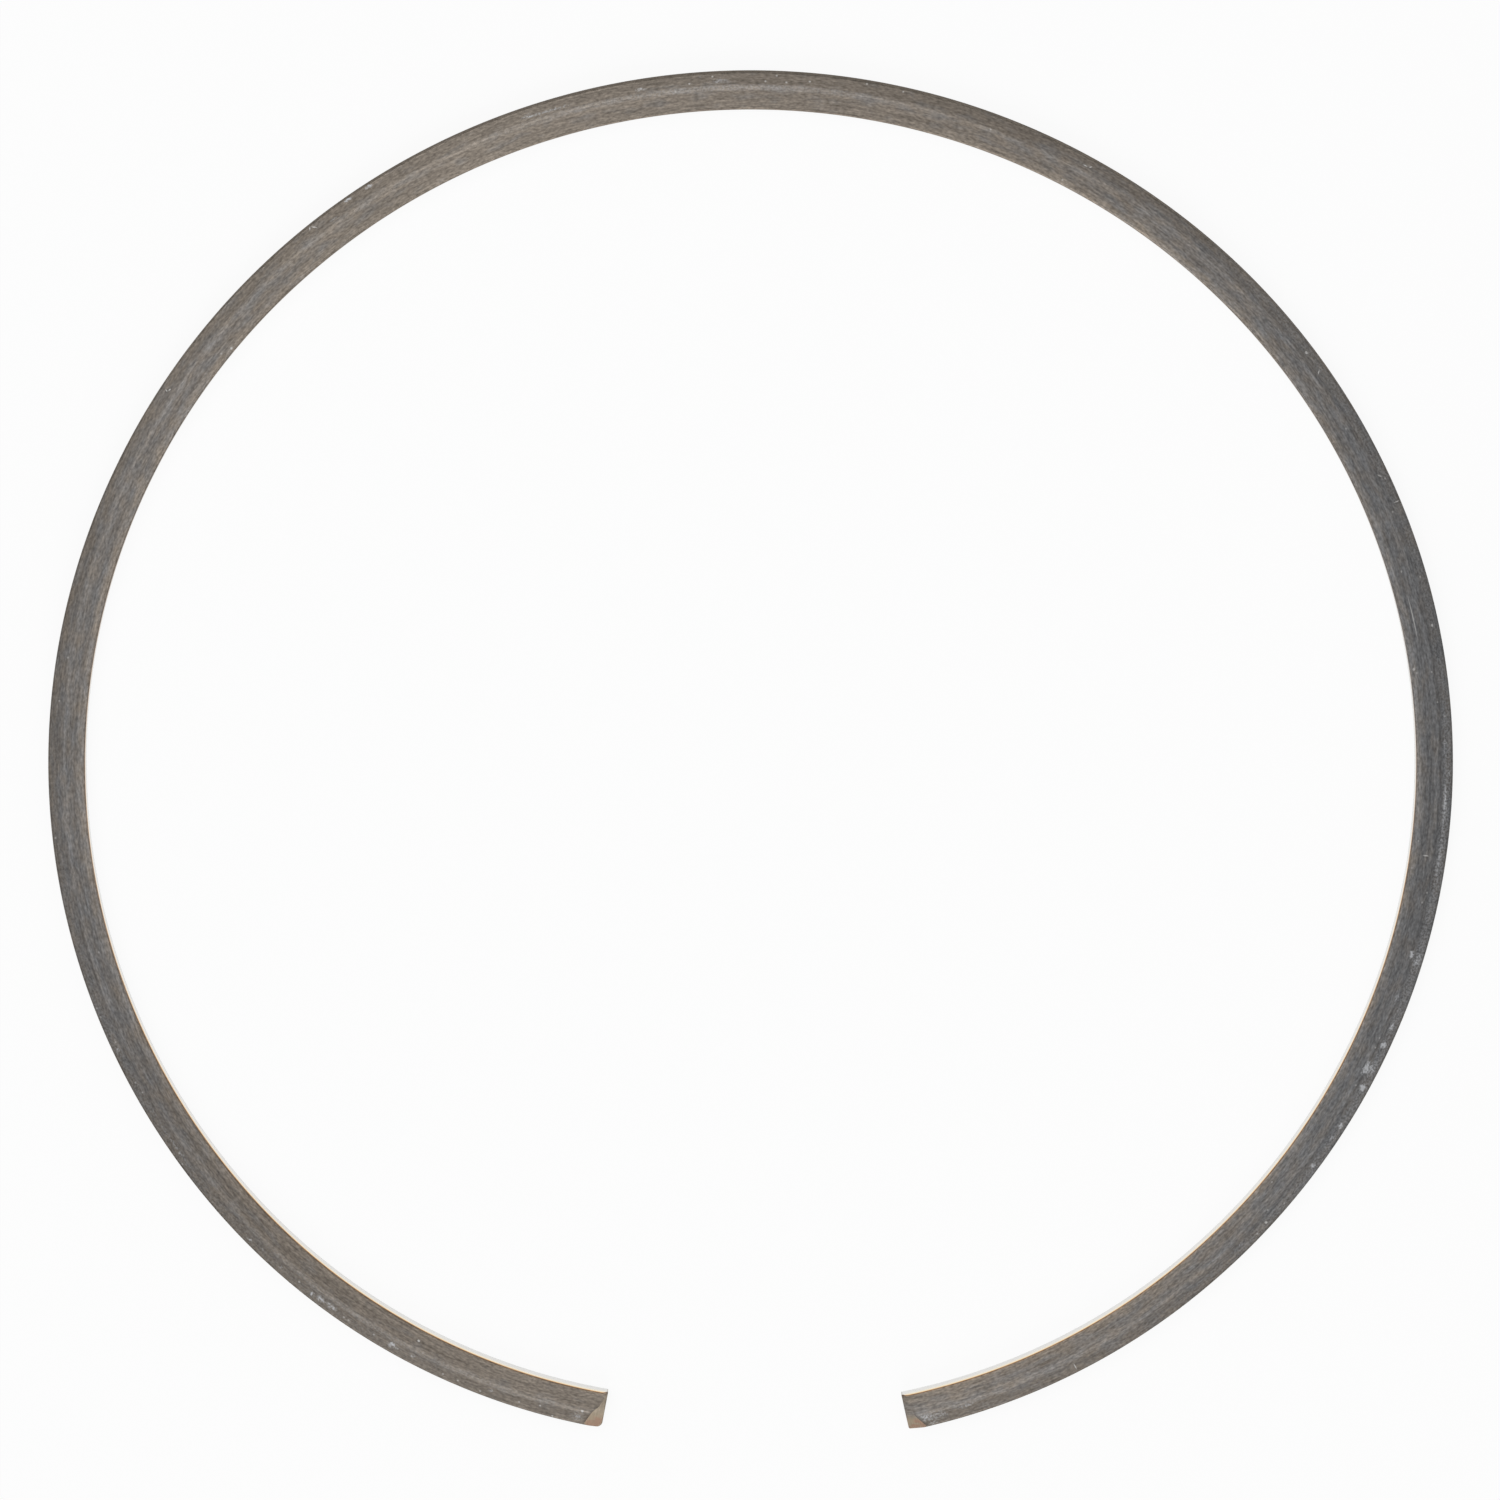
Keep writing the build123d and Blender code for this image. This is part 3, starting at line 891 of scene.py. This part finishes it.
def ground_steel():
    """Ground steel: tan, browner towards the outer edge, with grinding lines across the wire."""
    finish = Finish("ground_steel")
    place = finish.wire_place()
    distance = finish.step("SeparateXYZ", {0: place}).outputs[0]
    inset = finish.inset(place)
    lines = finish.grain(place, *GRINDING_LINES)
    blotches = finish.grain(place, *BLOTCHES)
    paler = finish.rise(inset, *PALE_SPAN)
    colour = finish.blend(paler, (*GROUND_TAN, 1), (*GROUND_PALE, 1))
    browner = finish.rise(inset, *BROWN_SPAN)
    browner = finish.maths("MULTIPLY", browner, finish.between(blotches, *BROWN_BLOTCHES))
    browner = finish.maths("MINIMUM", finish.maths("MAXIMUM", browner, 0.0), 1.0)
    colour = finish.blend(browner, colour, (*GROUND_BROWN, 1))
    for layer, tones in ((lines, GRINDING_TONES), (blotches, BLOTCH_TONES)):
        colour = finish.blend(1.0, colour, finish.between(layer, *tones), how="MULTIPLY")

    # Oxide that the inner part of the right end has kept
    right = finish.maths("LESS_THAN", distance, NEAR_LENGTH)
    on_wire = finish.maths("GREATER_THAN", distance, 0.0)
    kept = finish.maths("MULTIPLY", finish.maths("MULTIPLY", right, on_wire), paler)
    colour = finish.blend(kept, colour, oxide(finish, place)[0])
    colour = scorched(finish, place, colour)
    roughness = finish.between(lines, *GROUND_ROUGHNESS)
    normal = finish.relief(lines, GROUND_RELIEF)
    return finish.metal(colour, roughness, normal, GROUND_SHEEN, GROUND_EDGE_TINT)


def ring_wire():
    """The ring as one piece, with its three finishes, in place of the plain solid."""
    piece = bpy.data.objects.new("ring_wire", wire_mesh())
    bpy.context.scene.collection.objects.link(piece)
    for make in (drawn_steel, inner_wall_painted_glint, ground_steel):
        piece.data.materials.append(make())
    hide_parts(NODE)
    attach(piece, BODY)


# Floor: side in metres, gap under the ring in millimetres, colour, and how much of the white that
# metal and camera see is its own glow. Then the sky, and the lamps: name, azimuth, elevation,
# distance and side in metres, and power in watts.
FLOOR_SIZE = 6.0
FLOOR_GAP = 0.02
FLOOR_COLOUR = (0.95, 0.95, 0.95)
FLOOR_GLOW = 0.9
SKY = (0.45, 0.45, 0.455)
LAMPS = (
    ("back_lamp", 125.0, 65.0, 2.0, 1.6, 11.7),
    ("front_lamp", 265.0, 38.0, 2.0, 1.6, 11.8),
)


def studio_floor():
    """A flat white floor just under the ring. Rays from the camera and from metal see it white."""
    half = FLOOR_SIZE / 2
    height = (-TOP - FLOOR_GAP) * MM
    corners = [(x * half, y * half, height) for x, y in ((-1, -1), (1, -1), (1, 1), (-1, 1))]
    mesh = bpy.data.meshes.new("studio_floor")
    mesh.from_pydata(corners, [], [(0, 1, 2, 3)])
    floor = bpy.data.objects.new("studio_floor", mesh)
    bpy.context.scene.collection.objects.link(floor)
    finish = Finish("floor_white")
    ray = finish.step("LightPath").outputs
    seen = finish.maths("MAXIMUM", ray["Is Camera Ray"], ray["Is Glossy Ray"])
    seen = finish.maths("MAXIMUM", seen, ray["Is Transmission Ray"])
    share = finish.maths("MULTIPLY", seen, FLOOR_GLOW)
    matt = finish.step("BsdfDiffuse", {"Color": (*FLOOR_COLOUR, 1)}).outputs[0]
    white = finish.step("Emission", {"Strength": 1.0}).outputs[0]
    mixed = finish.step("MixShader", {0: share, 1: matt, 2: white}).outputs[0]
    finish.step("OutputMaterial", {"Surface": mixed})
    mesh.materials.append(finish.material)


def studio_light():
    """A plain pale sky, and soft square lamps turned to the ring."""
    world = bpy.data.worlds.new("sky")
    world.use_nodes = True
    world.node_tree.nodes["Background"].inputs[0].default_value = (*SKY, 1)
    bpy.context.scene.world = world
    for name, azimuth, height, reach, side, power in LAMPS:
        light = bpy.data.lights.new(name, "AREA")
        light.size = side
        light.energy = power
        lamp = bpy.data.objects.new(name, light)
        turn, lift = np.radians(azimuth), np.radians(height)
        place = Vector((np.cos(lift) * np.cos(turn), np.cos(lift) * np.sin(turn), np.sin(lift)))
        lamp.location = place * reach
        lamp.rotation_euler = place.to_track_quat("Z", "Y").to_euler()
        bpy.context.scene.collection.objects.link(lamp)


# Camera: distance from the ring's upper face, lean towards +Y and to the side, how far from the
# ring's centre it aims, to the right and upwards in the picture, and its lens and sensor
CAMERA_DISTANCE = 1082.0
CAMERA_LEAN = 10.70
CAMERA_SIDE = -0.09
CAMERA_AIM = (-0.09, 3.0)
CAMERA_LENS = 201.6
CAMERA_SENSOR = 36.0


def add_camera():
    """Looks down on the ring from a little on the +Y side, with +Y upwards in the picture."""
    side, lean = np.radians(CAMERA_SIDE), np.radians(CAMERA_LEAN)
    line = Vector((np.sin(side), np.sin(lean) * np.cos(side), np.cos(side) * np.cos(lean)))
    sideways = Vector((0, 1, 0)).cross(line).normalized()
    centre = Vector((0, 0, TOP))
    place = centre + line * CAMERA_DISTANCE
    aim = centre + sideways * CAMERA_AIM[0] + line.cross(sideways) * CAMERA_AIM[1]
    back = (place - aim).normalized()
    right = Vector((0, 1, 0)).cross(back).normalized()
    turn = Matrix((right, back.cross(right), back)).transposed()
    data = bpy.data.cameras.new("camera")
    data.lens = CAMERA_LENS
    data.sensor_width = CAMERA_SENSOR
    camera = bpy.data.objects.new("camera", data)
    camera.matrix_world = Matrix.Translation(place * MM) @ turn.to_4x4()
    bpy.context.scene.collection.objects.link(camera)
    bpy.context.scene.camera = camera


ring_wire()
studio_floor()
studio_light()
add_camera()
bpy.context.scene.view_settings.view_transform = "Standard"
